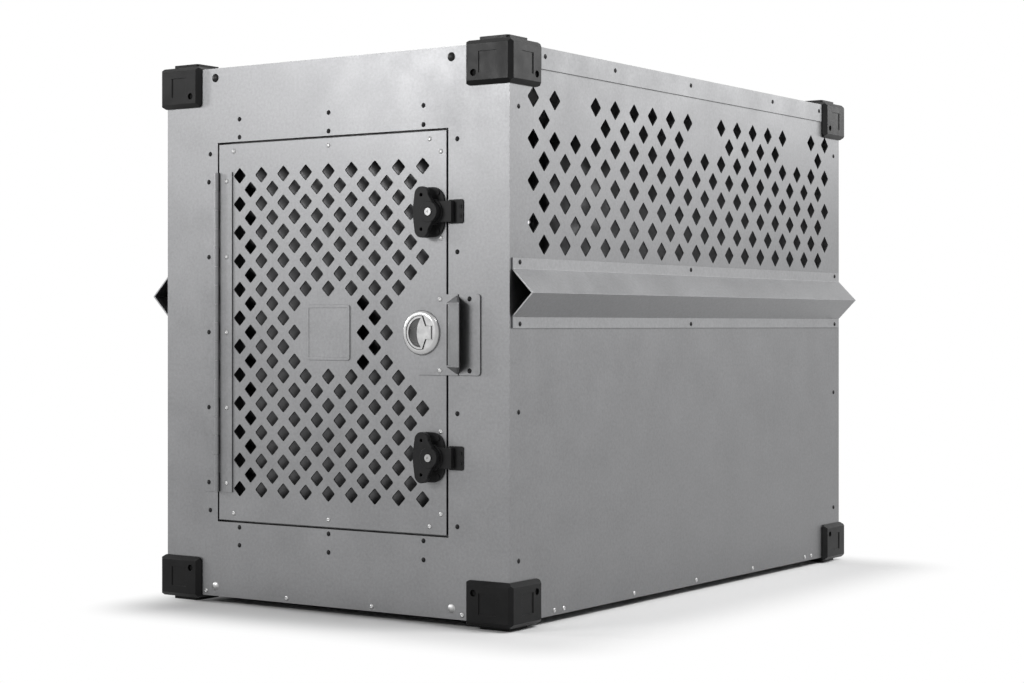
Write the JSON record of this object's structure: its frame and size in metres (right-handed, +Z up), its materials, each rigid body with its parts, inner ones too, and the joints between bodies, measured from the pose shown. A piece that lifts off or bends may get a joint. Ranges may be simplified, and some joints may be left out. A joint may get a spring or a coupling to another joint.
{
  "type": "dog crate",
  "caption": "Riveted aluminium sheet dog crate with diamond vents, moulded black corners, folded side handles and a hinged front door with a paddle slam latch and rotary draw latches.",
  "frame": {"origin": "on the floor, under the middle of the whole part's box", "axes": "+Z up, the door on the -Y side, +X to the right as seen facing the door"},
  "size_m": [0.6312, 0.9656, 0.732],
  "materials": {
    "aluminium_sheet": "satin mill finish, fine grain",
    "silver_rivet": "bright domed rivet",
    "black_plastic": "fine moulded texture",
    "black_metal": "black coated",
    "stainless": "polished stainless"
  },
  "bodies": {
    "crate": {"floor_pan": "aluminium_sheet", "roof_panel": "aluminium_sheet", "left_side_panel": "aluminium_sheet", "right_side_panel": "aluminium_sheet", "rear_panel": "aluminium_sheet", "front_panel": "aluminium_sheet", "door_frame": "aluminium_sheet", "left_handle": "aluminium_sheet", "right_handle": "aluminium_sheet", "front_left_top_corner": "black_plastic", "front_right_top_corner": "black_plastic", "rear_left_top_corner": "black_plastic", "rear_right_top_corner": "black_plastic", "front_left_bottom_corner": "black_plastic", "front_right_bottom_corner": "black_plastic", "rear_left_bottom_corner": "black_plastic", "rear_right_bottom_corner": "black_plastic", "corner_screws": "black_metal", "roof_rivets": "black_metal", "side_rivets": "black_metal", "handle_rivets": "black_metal", "front_rivets": "black_metal", "floor_rivets": "silver_rivet", "frame_bolts": "stainless", "hinge_frame_leaf": "aluminium_sheet", "hinge_pin": "stainless", "hinge_frame_rivets": "black_metal", "strike_plate": "aluminium_sheet", "strike_rivets": "black_metal", "upper_keeper": "black_metal", "lower_keeper": "black_metal", "keeper_screws": "stainless"},
    "door": {"door_panel": "aluminium_sheet", "door_stiffener": "aluminium_sheet", "hinge_door_leaf": "aluminium_sheet", "hinge_door_rivets": "silver_rivet", "door_rivets": "silver_rivet", "latch_plate": "aluminium_sheet", "latch_plate_rivets": "silver_rivet", "badge_plate": "aluminium_sheet", "slam_latch_body": "stainless", "paddle_pin": "stainless", "paddle_spring": "stainless", "upper_latch_base": "black_plastic", "lower_latch_base": "black_plastic", "latch_base_screws": "stainless"},
    "paddle": {"slam_paddle": "stainless"},
    "slam_bolt": {"slam_bolt": "stainless"},
    "upper_knob": {"upper_latch_knob": "black_plastic", "upper_knob_bolt": "stainless"},
    "lower_knob": {"lower_latch_knob": "black_plastic", "lower_knob_bolt": "stainless"},
    "upper_link": {"upper_latch_link": "black_metal"},
    "lower_link": {"lower_latch_link": "black_metal"}
  },
  "joints": [
    {"name": "door_hinge", "type": "hinge", "parent": "crate", "child": "door", "pos_m": [-0.1905, -0.4695, 0.366], "axis": [0, 0, -1], "range_deg": [0, 170]},
    {"name": "paddle_lift", "type": "hinge", "parent": "door", "child": "paddle", "pos_m": [0.1684, -0.46635, 0.366], "axis": [0, 0, 1], "range_deg": [0, 35], "stiffness_Nm_per_rad": 0.3, "springref_deg": -17.19},
    {"name": "slam_bolt_slide", "type": "slide", "parent": "door", "child": "slam_bolt", "axis": [-1, 0, 0], "range_m": [0, 0.0101]},
    {"name": "upper_knob_turn", "type": "hinge", "parent": "door", "child": "upper_knob", "pos_m": [0.1725, -0.4652, 0.5168], "axis": [0, -1, 0], "range_deg": [0, 180]},
    {"name": "lower_knob_turn", "type": "hinge", "parent": "door", "child": "lower_knob", "pos_m": [0.1725, -0.4652, 0.21], "axis": [0, -1, 0], "range_deg": [0, 180]},
    {"name": "upper_link_slide", "type": "slide", "parent": "door", "child": "upper_link", "axis": [1, 0, 0], "range_m": [0, 0.0051]},
    {"name": "lower_link_slide", "type": "slide", "parent": "door", "child": "lower_link", "axis": [1, 0, 0], "range_m": [0, 0.0051]}
  ],
  "couplings": [
    {"joint": "slam_bolt_slide", "follows": "paddle_lift", "m_per_rad": 0.0163},
    {"joint": "upper_link_slide", "follows": "upper_knob_turn", "m_per_rad": 0.00159},
    {"joint": "lower_link_slide", "follows": "lower_knob_turn", "m_per_rad": 0.00159}
  ]
}
